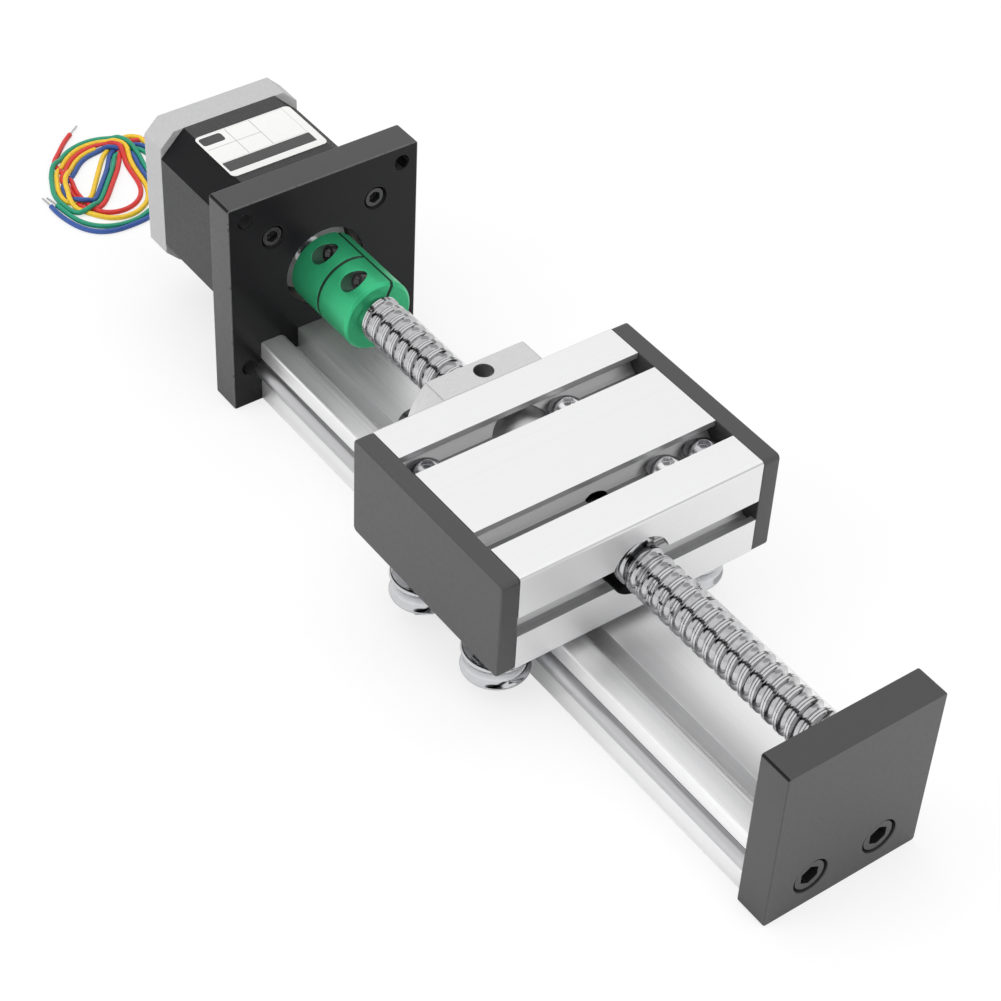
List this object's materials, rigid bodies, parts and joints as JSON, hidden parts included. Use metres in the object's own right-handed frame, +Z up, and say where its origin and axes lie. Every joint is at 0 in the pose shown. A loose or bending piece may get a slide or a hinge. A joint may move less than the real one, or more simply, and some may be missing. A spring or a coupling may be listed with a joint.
{
  "type": "ball screw linear module",
  "caption": "Ball screw linear module: carriage with T-slots and grooved rollers on an extruded rail with steel rods, driven through a clamp coupling by a square stepper motor.",
  "frame": {"origin": "centre of the rail's underside, midway between the two plates", "axes": "+X along the screw, away from the motor; +Z up, from the rail to the carriage; Y across the rail"},
  "size_m": [0.3403, 0.08, 0.0645],
  "materials": {
    "rail_aluminium": "satin anodised, drawn lengthwise",
    "bright_steel": "ground and polished",
    "black_anodised": "black anodised, bead blasted, bright chamfers",
    "black_screw_steel": "black oxide",
    "cast_aluminium": "cast, light satin",
    "stator_black": "black paint over stacked sheets",
    "copper_winding": "enamelled copper wire",
    "zinc_steel": "bright zinc plated",
    "label_white": "printed film",
    "bearing_steel": "ground",
    "grommet_rubber": "moulded",
    "lead_red": "soft insulation",
    "lead_yellow": "soft insulation",
    "lead_green": "soft insulation",
    "lead_blue": "soft insulation",
    "screw_steel": "ground and polished thread",
    "nut_steel": "ground",
    "green_anodised": "green anodised, bright chamfers",
    "rotor_steel": "stacked sheets",
    "magnet_dark": "sintered magnet",
    "carriage_aluminium": "clear anodised",
    "cap_plastic": "moulded, fine texture",
    "wiper_white": "moulded"
  },
  "bodies": {
    "base": {"rail": "rail_aluminium", "rod_left": "bright_steel", "rod_right": "bright_steel", "motor_plate": "black_anodised", "end_plate": "black_anodised", "end_plate_screws": "black_screw_steel", "motor_plate_screws": "black_screw_steel", "motor_mount_screws": "black_screw_steel", "motor_front_bell": "cast_aluminium", "motor_stator": "stator_black", "motor_coils": "copper_winding", "motor_rear_bell": "cast_aluminium", "motor_tie_screws": "zinc_steel", "motor_label": "label_white", "front_bearing_outer": "bearing_steel", "rear_bearing_outer": "bearing_steel", "end_bearing_outer": "bearing_steel", "bearing_balls": "bearing_steel", "rear_bearing_washer": "bearing_steel", "lead_grommet": "grommet_rubber", "lead_red": "lead_red", "lead_yellow": "lead_yellow", "lead_green": "lead_green", "lead_blue": "lead_blue", "lead_coil": "lead_yellow"},
    "screw": {"ball_screw": "screw_steel", "coupling": "green_anodised", "coupling_screws": "black_screw_steel", "motor_shaft": "bearing_steel", "rotor_cup_front": "rotor_steel", "rotor_magnet": "magnet_dark", "rotor_cup_rear": "rotor_steel", "front_bearing_inner": "bearing_steel", "rear_bearing_inner": "bearing_steel", "end_bearing_inner": "bearing_steel"},
    "carriage": {"carriage_block": "carriage_aluminium", "end_cap_left": "cap_plastic", "end_cap_right": "cap_plastic", "ball_nut": "nut_steel", "nut_screws": "black_screw_steel", "nut_wipers": "wiper_white", "nut_balls": "bearing_steel", "fixed_axle_bolts": "zinc_steel", "fixed_axle_washers": "zinc_steel", "fixed_axle_spacers": "zinc_steel", "fixed_axle_nuts": "zinc_steel", "eccentric_axle_screws": "black_screw_steel", "eccentric_bushes": "zinc_steel", "slot_screws": "zinc_steel", "slot_nuts": "zinc_steel", "roller_rings": "bearing_steel", "roller_balls": "bearing_steel"},
    "roller_front_left": {"roller_front_left": "bright_steel"},
    "roller_front_right": {"roller_front_right": "bright_steel"},
    "roller_rear_left": {"roller_rear_left": "bright_steel"},
    "roller_rear_right": {"roller_rear_right": "bright_steel"}
  },
  "joints": [
    {"name": "screw_turn", "type": "hinge", "parent": "base", "child": "screw", "pos_m": [0, 0, 0.036], "axis": [1, 0, 0], "range_deg": [-5580, 3420]},
    {"name": "carriage_travel", "type": "slide", "parent": "base", "child": "carriage", "axis": [1, 0, 0], "range_m": [-0.038, 0.062]},
    {"name": "roller_front_left_spin", "type": "hinge", "parent": "carriage", "child": "roller_front_left", "pos_m": [0.01825, -0.0292, 0.0104], "axis": [0, 0, 1], "range_deg": [-300, 450]},
    {"name": "roller_front_right_spin", "type": "hinge", "parent": "carriage", "child": "roller_front_right", "pos_m": [0.01825, 0.0292, 0.0104], "axis": [0, 0, 1], "range_deg": [-450, 300]},
    {"name": "roller_rear_left_spin", "type": "hinge", "parent": "carriage", "child": "roller_rear_left", "pos_m": [-0.01145, -0.0292, 0.0104], "axis": [0, 0, 1], "range_deg": [-300, 450]},
    {"name": "roller_rear_right_spin", "type": "hinge", "parent": "carriage", "child": "roller_rear_right", "pos_m": [-0.01145, 0.0292, 0.0104], "axis": [0, 0, 1], "range_deg": [-450, 300]}
  ],
  "couplings": [
    {"joint": "screw_turn", "follows": "carriage_travel", "rad_per_m": -1570.8},
    {"joint": "roller_front_left_spin", "follows": "carriage_travel", "rad_per_m": 120.77},
    {"joint": "roller_front_right_spin", "follows": "carriage_travel", "rad_per_m": -120.77},
    {"joint": "roller_rear_left_spin", "follows": "carriage_travel", "rad_per_m": 120.77},
    {"joint": "roller_rear_right_spin", "follows": "carriage_travel", "rad_per_m": -120.77}
  ]
}
